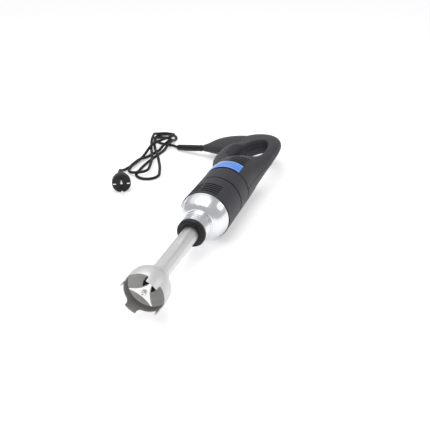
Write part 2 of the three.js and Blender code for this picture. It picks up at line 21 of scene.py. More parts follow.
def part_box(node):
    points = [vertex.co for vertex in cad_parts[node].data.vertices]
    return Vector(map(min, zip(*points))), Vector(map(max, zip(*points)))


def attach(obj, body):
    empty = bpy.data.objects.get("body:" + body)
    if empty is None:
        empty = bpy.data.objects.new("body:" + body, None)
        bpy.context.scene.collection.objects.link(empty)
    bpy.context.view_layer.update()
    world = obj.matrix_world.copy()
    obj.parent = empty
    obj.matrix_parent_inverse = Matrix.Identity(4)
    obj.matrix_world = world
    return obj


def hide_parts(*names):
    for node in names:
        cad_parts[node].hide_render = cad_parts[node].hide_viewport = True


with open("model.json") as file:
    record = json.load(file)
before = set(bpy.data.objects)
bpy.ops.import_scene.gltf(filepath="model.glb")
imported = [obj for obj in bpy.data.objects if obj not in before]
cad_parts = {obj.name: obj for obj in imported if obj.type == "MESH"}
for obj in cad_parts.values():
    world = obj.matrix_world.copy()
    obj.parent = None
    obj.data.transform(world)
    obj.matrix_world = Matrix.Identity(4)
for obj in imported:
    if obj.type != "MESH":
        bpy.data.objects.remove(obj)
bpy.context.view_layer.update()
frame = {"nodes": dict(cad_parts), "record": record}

MM = 0.001
WELD = 0.002
BODY_RADIUS = 45.0
GUARD_TIP = (-205.0, 353.0, 0.0)
GUARD_TIP_RADIUS = 6.3
FLOOR_GAP = 0.4
SLEEVE_START = 0.3
CORD_RADIUS = 3.1
ROLL = math.asin((BODY_RADIUS - GUARD_TIP_RADIUS - FLOOR_GAP) / -GUARD_TIP[0])

_sleeve_low, _sleeve_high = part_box("motor_sleeve")
AXIS = Vector((
    (_sleeve_low[0] + _sleeve_high[0]) / 2,
    _sleeve_low[1] - SLEEVE_START * MM,
    (_sleeve_low[2] + _sleeve_high[2]) / 2,
))
TOOL = Matrix.Translation(AXIS) @ Matrix.Rotation(-ROLL, 4, "Y") @ Matrix.Scale(MM, 4)
FLOOR = Matrix.Translation(AXIS - Vector((0, 0, BODY_RADIUS * MM))) @ Matrix.Scale(MM, 4)

Point = Sequence[float]
Colour = tuple[float, float, float]
Mesh = bmesh.types.BMesh
log = logging.getLogger("blender")


class Body(Enum):
    """The bodies of the frame that finished pieces ride on."""

    ROOT = "root"
    FOOT = "shaft_foot"
    RING = "lock_ring"
    DRIVE = "drive"
    TRIGGER = "trigger"


# ---------------------------------------------------------------- shapes
def smooth_line(points: Sequence[Point], steps: int, closed: bool = False) -> list[Vector]:
    """Points on a uniform Catmull-Rom line.

    Args:
        points: knots of any one dimension, passed through in order.
        steps: points made for each stretch between two knots.
        closed: whether the line returns to its first knot.

    Returns:
        The points, with the last knot at the end of an open line.
    """
    knots = [Vector(point) for point in points]
    if closed:
        chain = [knots[-1], *knots, knots[0], knots[1]]
    else:
        chain = [2 * knots[0] - knots[1], *knots, 2 * knots[-1] - knots[-2]]
    line = []
    for a, b, c, d in zip(chain, chain[1:], chain[2:], chain[3:]):
        for step in range(steps):
            t = step / steps
            square, cube = 2 * a - 5 * b + 4 * c - d, 3 * b - a - 3 * c + d
            line.append((2 * b + (c - a) * t + square * t**2 + cube * t**3) / 2)
    return line if closed else [*line, knots[-1]]


def ease(value: float, start: float, end: float) -> float:
    """A smooth step from 0 at start to 1 at end, whichever is larger."""
    t = min(max((value - start) / (end - start), 0.0), 1.0)
    return t * t * (3 - 2 * t)


def quarter(centre: Point, radius: float, start: float) -> list[tuple[float, float]]:
    """Seven points round a quarter circle that starts at an angle in degrees."""
    turns = [math.radians(start + step) for step in range(0, 91, 15)]
    return [(centre[0] + radius * math.cos(turn), centre[1] + radius * math.sin(turn)) for turn in turns]


def close_up(shape: Mesh) -> Mesh:
    """Fills every open loop, welds doubles and turns the faces outwards."""
    bmesh.ops.remove_doubles(shape, verts=shape.verts[:], dist=WELD)
    bmesh.ops.dissolve_degenerate(shape, dist=WELD, edges=shape.edges[:])
    bmesh.ops.holes_fill(shape, edges=[edge for edge in shape.edges if edge.is_boundary])
    bmesh.ops.recalc_face_normals(shape, faces=shape.faces[:])
    return shape


def turned(profile: Sequence[Point], segments: int, start: float = 0.0, sweep: float = 360.0) -> Mesh:
    """A solid turned about the v axis.

    Args:
        profile: closed outline of (radius, v) points.
        segments: steps round the sweep.
        start: angle of the first section, in degrees from u towards w.
        sweep: angle turned through, in degrees.

    Returns:
        The closed solid.
    """
    shape = bmesh.new()
    angle = math.radians(start)
    verts = [shape.verts.new((r * math.cos(angle), v, r * math.sin(angle))) for r, v in profile]
    pairs = zip(verts, verts[1:] + verts[:1])
    off_axis = [(a, b) for a, b in pairs if a.co.xz.length + b.co.xz.length > WELD]
    edges = [shape.edges.new(pair) for pair in off_axis]
    bmesh.ops.spin(
        shape, geom=verts + edges, cent=(0, 0, 0), axis=(0, -1, 0), angle=math.radians(sweep),
        steps=segments, use_merge=sweep == 360.0)
    return close_up(shape)


def prism(outline: Sequence[Point], low: float, high: float) -> Mesh:
    """A (u, v) outline extruded along w from low to high."""
    shape = bmesh.new()
    face = shape.faces.new([shape.verts.new((point[0], point[1], low)) for point in outline])
    raised = bmesh.ops.extrude_face_region(shape, geom=[face])["geom"]
    verts = [item for item in raised if isinstance(item, bmesh.types.BMVert)]
    bmesh.ops.translate(shape, verts=verts, vec=(0, 0, high - low))
    return close_up(shape)


def block(u: Point, v: Point, w: Point) -> Mesh:
    """A box between two limits along each axis."""
    shape = bmesh.new()
    size = Vector((u[1] - u[0], v[1] - v[0], w[1] - w[0]))
    middle = Vector((u[0] + u[1], v[0] + v[1], w[0] + w[1])) / 2
    place = Matrix.Translation(middle) @ Matrix.Diagonal(size.to_4d())
    bmesh.ops.create_cube(shape, size=1.0, matrix=place)
    return shape


def rod(centre: Point, radius: float, length: float, segments: int = 32) -> Mesh:
    """A round bar along w that starts at centre."""
    shape = bmesh.new()
    place = Matrix.Translation(Vector(centre) + Vector((0, 0, length / 2)))
    bmesh.ops.create_cone(
        shape, cap_ends=True, segments=segments, radius1=radius, radius2=radius, depth=length, matrix=place)
    return shape


def hoop(shape: Mesh, sides: int) -> tuple[list[bmesh.types.BMVert], list[bmesh.types.BMEdge]]:
    """Adds an open circle of radius 1 and gives its corners and edges."""
    ring = bmesh.ops.create_circle(shape, cap_ends=False, segments=sides, radius=1.0)["verts"]
    return ring, list({edge for vert in ring for edge in vert.link_edges})


def loft(stations: Sequence[Point], steps: int, sides: int, heading: Point | None = None) -> Mesh:
    """A skin through superellipse sections that stand square to the route.

    Args:
        stations: (u, v, w, half across, half thick, power) for each section.
        steps: sections made for each stretch between two stations.
        sides: points round a section.
        heading: fixed direction that every section faces, or None to follow the route.

    Returns:
        The closed skin.
    """
    shape = bmesh.new()
    line = smooth_line(stations, steps)
    last = None
    for index, station in enumerate(line):
        ahead, behind = line[min(index + 1, len(line) - 1)], line[max(index - 1, 0)]
        route = Vector((ahead[0] - behind[0], ahead[1] - behind[1], 0)).normalized()
        along = Vector(heading) if heading else route
        across = Vector((along.y, -along.x, 0))
        centre, power = Vector(station[:3]), 2 / station[5]
        ring, edges = hoop(shape, sides)
        for vert in ring:
            x, y = (math.copysign(abs(c) ** power, c) for c in (vert.co.x, vert.co.y))
            vert.co = centre + across * (x * station[3]) + Vector((0, 0, y * station[4]))
        if last:
            bmesh.ops.bridge_loops(shape, edges=last + edges)
        last = edges
    return close_up(shape)


def gathered(shapes: Iterable[Mesh]) -> Mesh:
    """One mesh holding several shapes as they are."""
    whole = bmesh.new()
    for shape in shapes:
        scratch = bpy.data.meshes.new("scratch")
        shape.to_mesh(scratch)
        shape.free()
        whole.from_mesh(scratch)
        bpy.data.meshes.remove(scratch)
    return whole


def moved(shape: Mesh, place: Matrix) -> Mesh:
    """The same shape, transformed."""
    shape.transform(place)
    return shape


def bevelled(shape: Mesh, edges: list[bmesh.types.BMEdge], width: float, segments: int) -> Mesh:
    """The same shape with a bevel along the given edges."""
    bmesh.ops.bevel(
        shape, geom=edges, offset=width, offset_type="OFFSET", segments=segments, profile=0.5,
        affect="EDGES", material=-1, clamp_overlap=True)
    return shape


def soften(shape: Mesh, width: float, segments: int = 2, least: float = 30.0) -> Mesh:
    """Rounds every edge that turns by more than a number of degrees.

    Args:
        shape: closed mesh.
        width: distance of the rounding from the edge.
        segments: faces across the rounding.
        least: smallest turn that counts as an edge.

    Returns:
        The same mesh.
    """
    limit = math.radians(least)
    edges = [edge for edge in shape.edges if edge.is_manifold and edge.calc_face_angle(0.0) > limit]
    return bevelled(shape, edges, width, segments)


def solid(name: str, shape: Mesh) -> bpy.types.Object:
    """A Blender object holding the shape, in the shape's own units."""
    mesh = bpy.data.meshes.new(name)
    shape.to_mesh(mesh)
    shape.free()
    piece = bpy.data.objects.new(name, mesh)
    bpy.context.scene.collection.objects.link(piece)
    return piece


def settle(piece: bpy.types.Object) -> None:
    """Applies the piece's modifiers to its mesh."""
    graph = bpy.context.evaluated_depsgraph_get()
    mesh = bpy.data.meshes.new_from_object(piece.evaluated_get(graph), depsgraph=graph)
    old = piece.data
    piece.modifiers.clear()
    piece.data = mesh
    bpy.data.meshes.remove(old)


def carve(shape: Mesh, cutter: Mesh) -> Mesh:
    """The shape with the cutter's space taken out of it."""
    piece, tool = solid("carved", shape), solid("cutter", cutter)
    modifier = piece.modifiers.new("carve", "BOOLEAN")
    modifier.operation, modifier.solver, modifier.object = "DIFFERENCE", "EXACT", tool
    settle(piece)
    return taken_back(piece, tool)


def remade(shape: Mesh, voxel: float, smooth: int) -> Mesh:
    """The shape's outer skin in even cells.

    Args:
        shape: closed shapes that may run through each other.
        voxel: cell size.
        smooth: rounds of smoothing.

    Returns:
        One closed mesh.
    """
    piece = solid("remade", shape)
    remesh = piece.modifiers.new("remesh", "REMESH")
    remesh.mode, remesh.voxel_size = "VOXEL", voxel
    relax = piece.modifiers.new("relax", "SMOOTH")
    relax.factor, relax.iterations = 0.5, smooth
    settle(piece)
    return taken_back(piece)


def taken_back(piece: bpy.types.Object, *others: bpy.types.Object) -> Mesh:
    """The mesh of an object, after which it and the other objects are removed."""
    shape = bmesh.new()
    shape.from_mesh(piece.data)
    for item in (piece, *others):
        mesh = item.data
        bpy.data.objects.remove(item)
        bpy.data.meshes.remove(mesh)
    return shape


@dataclass(frozen=True)
class Standing:
    """What a finished piece stands for: its CAD node, material slot and moving body."""

    node: str
    slot: str
    body: Body = Body.ROOT


def finished(
    name: str,
    shape: Mesh,
    material: bpy.types.Material,
    stands: Standing,
    place: Matrix = TOOL,
    crease: float = 32.0,
) -> bpy.types.Object:
    """Places a shape, dresses it and ties it to the frame.

    Args:
        name: the piece's name.
        shape: mesh in millimetres.
        material: its finish.
        stands: the node it replaces and body.
        place: transform from the shape's axes to the frame.
        crease: turn, in degrees, past which an edge is shaded sharp.

    Returns:
        The finished object.
    """
    shape.transform(place)
    piece = solid(name, shape)
    piece.data.materials.clear()
    piece.data.materials.append(material)
    piece.data.shade_smooth()
    piece.data.set_sharp_from_angle(angle=math.radians(crease))
    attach(piece, stands.body.value)
    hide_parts(stands.node)
    log.info("%s: %d faces", name, len(piece.data.polygons))
    return piece


# ---------------------------------------------------------------- finishes
class Signal:
    """A shader socket that takes part in sums written in Python."""

    def __init__(self, shade: "Shade", socket: bpy.types.NodeSocket) -> None:
        """Keeps the socket and the shade that it belongs to."""
        self.shade = shade
        self.socket = socket

    def __add__(self, other: "Signal | float") -> "Signal":
        """Sum."""
        return self.shade.maths("ADD", self, other)

    def __sub__(self, other: "Signal | float") -> "Signal":
        """Difference."""
        return self.shade.maths("SUBTRACT", self, other)

    def __rsub__(self, other: float) -> "Signal":
        """Difference from a number."""
        return self.shade.maths("SUBTRACT", other, self)

    def __mul__(self, other: "Signal | float") -> "Signal":
        """Product."""
        return self.shade.maths("MULTIPLY", self, other)

    __radd__ = __add__
    __rmul__ = __mul__

    def step(self, start: float, end: float) -> "Signal":
        """Rises smoothly from 0 at start to 1 at end."""
        limits = {0: self, 1: start, 2: end, 3: 0.0, 4: 1.0}
        node = self.shade.node("ShaderNodeMapRange", {"interpolation_type": "SMOOTHSTEP"}, limits)
        return Signal(self.shade, node.outputs[0])


class Shade:
    """One material under construction, with a Principled shader at its end."""

    def __init__(self, name: str, **uniform: object) -> None:
        """Makes the material; uniform holds shader socket values by name, with _ for each space."""
        self.material = bpy.data.materials.new(name)
        self.material.use_nodes = True
        self.tree = self.material.node_tree
        self.tree.nodes.clear()
        values = {key.replace("_", " "): value for key, value in uniform.items()}
        self.surface = self.node("ShaderNodeBsdfPrincipled", {}, values)
        self.node("ShaderNodeOutputMaterial", {}, {"Surface": Signal(self, self.surface.outputs[0])})
        self.material.diffuse_color = values.get("Base Color", (0.5, 0.5, 0.5, 1.0))

    def node(
        self, kind: str, settings: dict[str, object], inputs: dict[str | int, object],
    ) -> bpy.types.Node:
        """Adds a node.

        Args:
            kind: the node's type.
            settings: attributes set first, such as a Math node's operation.
            inputs: values or signals by socket name or number.

        Returns:
            The node.
        """
        made = self.tree.nodes.new(kind)
        for key, value in settings.items():
            setattr(made, key, value)
        for key, value in inputs.items():
            if isinstance(value, Signal):
                self.tree.links.new(value.socket, made.inputs[key])
            else:
                made.inputs[key].default_value = value
        return made

    def maths(self, operation: str, first: "Signal | float", second: "Signal | float") -> Signal:
        """A sum on two numbers or signals."""
        node = self.node("ShaderNodeMath", {"operation": operation}, {0: first, 1: second})
        return Signal(self, node.outputs[0])

    def vector(self, operation: str, first: Signal, second: Point | Signal) -> Signal:
        """A sum on two vectors."""
        node = self.node("ShaderNodeVectorMath", {"operation": operation}, {0: first, 1: second})
        return Signal(self, node.outputs[0])

    def tool_place(self) -> Signal:
        """The surface point in the tool's u, v, w millimetres."""
        spot = Signal(self, self.node("ShaderNodeTexCoord", {}, {}).outputs["Object"])
        shift, turn, scale = TOOL.inverted().decompose()
        inputs = {"Vector": spot, "Location": shift, "Rotation": turn.to_euler(), "Scale": scale}
        return Signal(self, self.node("ShaderNodeMapping", {}, inputs).outputs[0])

    def axial(self) -> tuple[Signal, Signal]:
        """Distance from the tool's axis and distance along it, in millimetres."""
        parts = self.node("ShaderNodeSeparateXYZ", {}, {0: self.tool_place()}).outputs
        u, v, w = (Signal(self, part) for part in parts)
        return self.maths("SQRT", u * u + w * w, 0.0), v

    def noise(
        self, place: Signal, scale: float, stretch: Point = (1, 1, 1), detail: float = 3.0,
    ) -> Signal:
        """Noise from about 0 to 1 that repeats scale times a millimetre."""
        spot = self.vector("MULTIPLY", place, [scale * part for part in stretch])
        node = self.node("ShaderNodeTexNoise", {}, {"Vector": spot, "Scale": 1.0, "Detail": detail})
        return Signal(self, node.outputs[0])

    def rings(self, radius: Signal, along: Signal, scale: float) -> Signal:
        """Noise that is the same all round the axis, as turning leaves it."""
        node = self.node("ShaderNodeCombineXYZ", {}, {0: radius, 1: along, 2: 0.0})
        return self.noise(Signal(self, node.outputs[0]), scale, detail=2.0)

    def mixed(self, factor: Signal, first: Point | Signal, second: Point | Signal) -> Signal:
        """A colour between two colours."""
        ends = [end if isinstance(end, Signal) else (*end, 1.0) for end in (first, second)]
        node = self.node("ShaderNodeMix", {"data_type": "RGBA"}, {0: factor, 6: ends[0], 7: ends[1]})
        return Signal(self, node.outputs[2])

    def paint(self, **signals: Signal) -> None:
        """Feeds signals to the shader's sockets by name, with _ for each space."""
        for key, signal in signals.items():
            self.tree.links.new(signal.socket, self.surface.inputs[key.replace("_", " ")])

    def emboss(self, height: Signal, depth: float) -> None:
        """Raises the surface by a signal from 0 to 1, depth millimetres high."""
        inputs = {"Height": height, "Distance": depth * MM, "Strength": 1.0}
        self.paint(Normal=Signal(self, self.node("ShaderNodeBump", {}, inputs).outputs[0]))


def tinted(colour: Colour, gain: float) -> tuple[float, ...]:
    """A colour made lighter or darker."""
    return tuple(min(channel * gain, 1.0) for channel in colour)


@dataclass(frozen=True)
class Moulded:
    """Moulded plastic or rubber: fine grain, slight clouding and rubbed patches."""

    name: str
    colour: Colour
    roughness: float
    grain: float = 4.0
    depth: float = 0.02
    clouding: float = 0.14

    def dress(self) -> bpy.types.Material:
        """Builds the material."""
        shade = Shade(self.name, Specular_IOR_Level=0.3)
        place = shade.tool_place()
        cloud = shade.noise(place, 0.035, detail=4.0)
        fine = shade.noise(place, self.grain, detail=2.0)
        rubbed = shade.noise(place, 0.12, stretch=(1.0, 0.5, 1.0)).step(0.56, 0.74)
        low, high = tinted(self.colour, 1 - self.clouding), tinted(self.colour, 1 + self.clouding)
        shade.paint(Base_Color=shade.mixed(cloud, low, high))
        shade.paint(Roughness=self.roughness + (fine - 0.5) * 0.16 - rubbed * 0.07)
        shade.emboss(fine, self.depth)
        return shade.material


@dataclass(frozen=True)
class Turned:
    """Metal finished on a lathe: fine rings round the tool's axis."""

    name: str
    colour: Colour
    roughness: float
    pitch: float = 2.5
    depth: float = 0.002
    metallic: float = 1.0
    # band: colour of painted shade, laid in front of band_end
    band: Colour | None = None
    band_end: float = -223.5

    def dress(self) -> bpy.types.Material:
        """Builds the material, with a painted shade colour in front of band_end if one is given."""
        shade = Shade(self.name, Metallic=self.metallic)
        radius, along = shade.axial()
        marks = shade.rings(radius, along, self.pitch)
        haze = shade.noise(shade.tool_place(), 0.05, detail=4.0)
        colour = shade.mixed(marks, tinted(self.colour, 0.93), tinted(self.colour, 1.04))
        rough = self.roughness + (marks - 0.5) * 0.14 + (haze - 0.5) * 0.1
        if self.band:
            # painted shade: the darker band colour takes over in front of band_end
            inside = 1.0 - along.step(self.band_end - 0.6, self.band_end + 0.6)
            painted_shade = shade.mixed(haze, self.band, tinted(self.band, 1.3))
            colour = shade.mixed(inside, colour, painted_shade)
        shade.paint(Base_Color=colour, Roughness=rough)
        shade.emboss(marks, self.depth)
        return shade.material


@dataclass(frozen=True)
class Brushed:
    """Metal brushed along the tool."""

    name: str
    colour: Colour
    roughness: float
    depth: float = 0.004

    def dress(self) -> bpy.types.Material:
        """Builds the material."""
        shade = Shade(self.name, Metallic=1.0, Anisotropic=0.35)
        place = shade.tool_place()
        streaks = shade.noise(place, 2.2, stretch=(1.0, 0.02, 1.0), detail=5.0)
        haze = shade.noise(place, 0.06, detail=3.0)
        shade.paint(Base_Color=shade.mixed(streaks, tinted(self.colour, 0.86), tinted(self.colour, 1.06)))
        shade.paint(Roughness=self.roughness + (streaks - 0.5) * 0.22 + (haze - 0.5) * 0.12)
        shade.emboss(streaks, self.depth)
        return shade.material


@dataclass(frozen=True)
class Layered:
    """Wound wire, stacked laminations or board tracks: bands along one tool direction."""

    name: str
    colour: Colour
    gap: Colour
    roughness: float
    metallic: float
    direction: Point = (0.0, 1.0, 0.0)

    def dress(self) -> bpy.types.Material:
        """Builds the material."""
        shade = Shade(self.name, Metallic=self.metallic)
        place = shade.tool_place()
        bands = shade.noise(place, 3.0, stretch=self.direction, detail=0.0).step(0.4, 0.6)
        cloud = shade.noise(place, 0.2)
        shade.paint(Base_Color=shade.mixed(bands, self.gap, self.colour))
        shade.paint(Roughness=self.roughness + (cloud - 0.5) * 0.2)
        shade.emboss(bands, 0.05)
        return shade.material


@dataclass(frozen=True)
class Printed:
    """A glossy printed film with a lighter keyline and no lettering."""

    name: str
    colour: Colour
    keyline: Colour
    start: float
    end: float
    inset: float = 1.7
    width: float = 0.55

    def dress(self) -> bpy.types.Material:
        """Builds the material; start and end are the film's limits along the tool."""
        shade = Shade(self.name, Coat_Weight=0.6, Coat_Roughness=0.08)
        _, along = shade.axial()
        lines = None
        for edge, side in ((self.start, 1.0), (self.end, -1.0)):
            near, far = edge + side * self.inset, edge + side * (self.inset + self.width)
            low, high = min(near, far), max(near, far)
            band = along.step(low - 0.1, low) * (1.0 - along.step(high, high + 0.1))
            lines = band if lines is None else lines + band
        print_cloud = shade.noise(shade.tool_place(), 0.3)
        ground = shade.mixed(print_cloud, tinted(self.colour, 0.93), tinted(self.colour, 1.07))
        shade.paint(Base_Color=shade.mixed(lines, ground, self.keyline), Roughness=0.3 + print_cloud * 0.1)
        return shade.material


FINISHES = {
    "polished_aluminium": Turned(
        "polished_aluminium", (0.79, 0.795, 0.81), 0.24, pitch=0.9, depth=0.0006),
    "cast_aluminium": Moulded("cast_aluminium", (0.5, 0.5, 0.51), 0.5, depth=0.05),
    "stainless_steel": Brushed("stainless_tube", (0.72, 0.72, 0.71), 0.46, depth=0.001),
    "bell_steel": Turned("bell_steel", (0.66, 0.66, 0.65), 0.42, depth=0.001, metallic=0.55),
    # inside of the bell: the steel painted near-white as painted light in the dome, with a painted shade
    # band on the skirt wall
    "bell_inside_painted_light": Turned(
        "bell_inside_painted_light", (0.95, 0.95, 0.94), 0.5, depth=0.001, metallic=0.0, band=(0.25, 0.235, 0.22)),
    "blade_steel": Turned("blade_steel", (0.86, 0.86, 0.85), 0.25, depth=0.001, metallic=0.8),
    "shaft_steel": Turned("shaft_steel", (0.6, 0.6, 0.61), 0.25),
    "housing_plastic": Moulded("housing_plastic", (0.036, 0.036, 0.042), 0.52),
    "control_plastic": Moulded("control_plastic", (0.014, 0.014, 0.015), 0.42),
    "ring_plastic": Moulded("ring_plastic", (0.012, 0.012, 0.013), 0.38),
    "cord_rubber": Moulded("cord_rubber", (0.012, 0.012, 0.013), 0.45, grain=3.0, depth=0.03),
    "seal_rubber": Moulded("seal_rubber", (0.012, 0.012, 0.012), 0.6),
    "label_blue": Printed("label_blue", (0.07, 0.26, 0.78), (0.6, 0.72, 0.92), 108.6, 136.0),
    "plated_steel": Turned("plated_steel", (0.72, 0.73, 0.75), 0.22),
    "lamination_steel": Layered("lamination_steel", (0.3, 0.31, 0.33), (0.12, 0.12, 0.13), 0.45, 0.8),
    "copper": Layered(
        "copper", (0.62, 0.3, 0.14), (0.25, 0.1, 0.04), 0.35, 0.9, direction=(0.5, 0.5, 0.5)),
    "bronze": Turned("bronze", (0.55, 0.38, 0.2), 0.4),
    "brass": Brushed("brass", (0.72, 0.56, 0.26), 0.3),
    "carbon": Moulded("carbon", (0.02, 0.02, 0.021), 0.7),
    "fan_nylon": Moulded("fan_nylon", (0.62, 0.6, 0.54), 0.5),
    "circuit_board": Layered(
        "circuit_board", (0.03, 0.16, 0.06), (0.05, 0.25, 0.1), 0.4, 0.0, direction=(1.0, 0.0, 0.0)),
    "capacitor_case": Moulded("capacitor_case", (0.03, 0.08, 0.24), 0.3),
}


def dress_frame(paints: dict[str, bpy.types.Material]) -> None:
    """Gives every CAD node the finish of its material slot."""
    for part in frame["record"]["subparts"]:
        for slot in frame["nodes"][part["node"]].material_slots:
            slot.material = paints[part["material_slot"]]


# ---------------------------------------------------------------- studio
@dataclass(frozen=True)
class Studio:
    """Camera, softboxes and floor; place is in millimetres from the tool's axis on the floor."""

    place: tuple[float, float, float] = (324.517, -837.078, 537.678)
    azimuth: float = 20.072
    elevation: float = 28.676
    lens: float = 50.233
    sky_power: float = 0.5
    sky_spread: float = 70.0
    room_light: float = 0.55
    floor_glow: float = 0.42
    floor_half: float = 8.0

    def camera(self) -> None:
        """Makes the camera."""
        data = bpy.data.cameras.new("camera")
        data.lens, data.sensor_width = self.lens, 36.0
        data.clip_start, data.clip_end = 0.05, 20.0
        camera = bpy.data.objects.new("camera", data)
        camera.location = FLOOR @ Vector(self.place)
        camera.rotation_euler = Euler((math.radians(90 - self.elevation), 0, math.radians(self.azimuth)))
        bpy.context.scene.collection.objects.link(camera)
        bpy.context.scene.camera = camera

    def softbox(self, name: str, place: Point, aim: Point, size: float, power: float) -> None:
        """Adds a square soft light.

        Args:
            name: the light's name.
            place: where it hangs, in metres.
            aim: the point that it faces, in metres.
            size: its side, in metres.
            power: its power in watts.
        """
        data = bpy.data.lights.new(name, "AREA")
        data.shape, data.size, data.energy = "SQUARE", size, power
        light = bpy.data.objects.new(name, data)
        light.location = place
        light.rotation_euler = (Vector(aim) - Vector(place)).to_track_quat("-Z", "Y").to_euler()
        bpy.context.scene.collection.objects.link(light)

    def set_up(self) -> None:
        """Makes the floor, world light and softboxes."""
        scene = bpy.context.scene
        scene.view_settings.view_transform = "Standard"
        self.softbox("key", place=(-0.12, -0.2, 1.35), aim=(0.05, -0.2, 0.05), size=1.15, power=9.0)
        self.softbox("rim", place=(1.4, 0.7, 0.9), aim=(0.1, 0.0, 0.05), size=0.6, power=2.5)
        sun = bpy.data.objects.new("sky", bpy.data.lights.new("sky", "SUN"))
        sun.data.energy, sun.data.angle = self.sky_power, math.radians(self.sky_spread)
        sun.rotation_euler = Euler((math.radians(-18), math.radians(-28), 0))
        scene.collection.objects.link(sun)
        world = bpy.data.worlds.new("studio")
        world.use_nodes = True
        room = world.node_tree.nodes["Background"]
        room.inputs["Color"].default_value = (0.98, 0.98, 1.0, 1.0)
        room.inputs["Strength"].default_value = self.room_light
        scene.world = world
        shape = bmesh.new()
        bmesh.ops.create_grid(shape, x_segments=1, y_segments=1, size=self.floor_half)
        floor = solid("floor", shape)
        white = (1.0, 1.0, 1.0, 1.0)
        paper = Shade(
            "paper", Base_Color=(0.8, 0.8, 0.8, 1.0), Roughness=0.9, Specular_IOR_Level=0.0,
            Emission_Color=white, Emission_Strength=self.floor_glow)
        floor.data.materials.append(paper.material)


# ---------------------------------------------------------------- cord and plug
@dataclass(frozen=True)
class Fold:
    """One fold of the hank: a circle in the hank's axes, and which way the cord runs round it."""

    along: float
    across: float
    radius: float
    clockwise: bool

    @property
    def centre(self) -> Vector:
        """The circle's middle."""
        return Vector((self.along, self.across))

    @property
    def sign(self) -> int:
        """1 if the circle lies on the right of the cord, -1 if it lies on the left."""
        return 1 if self.clockwise else -1


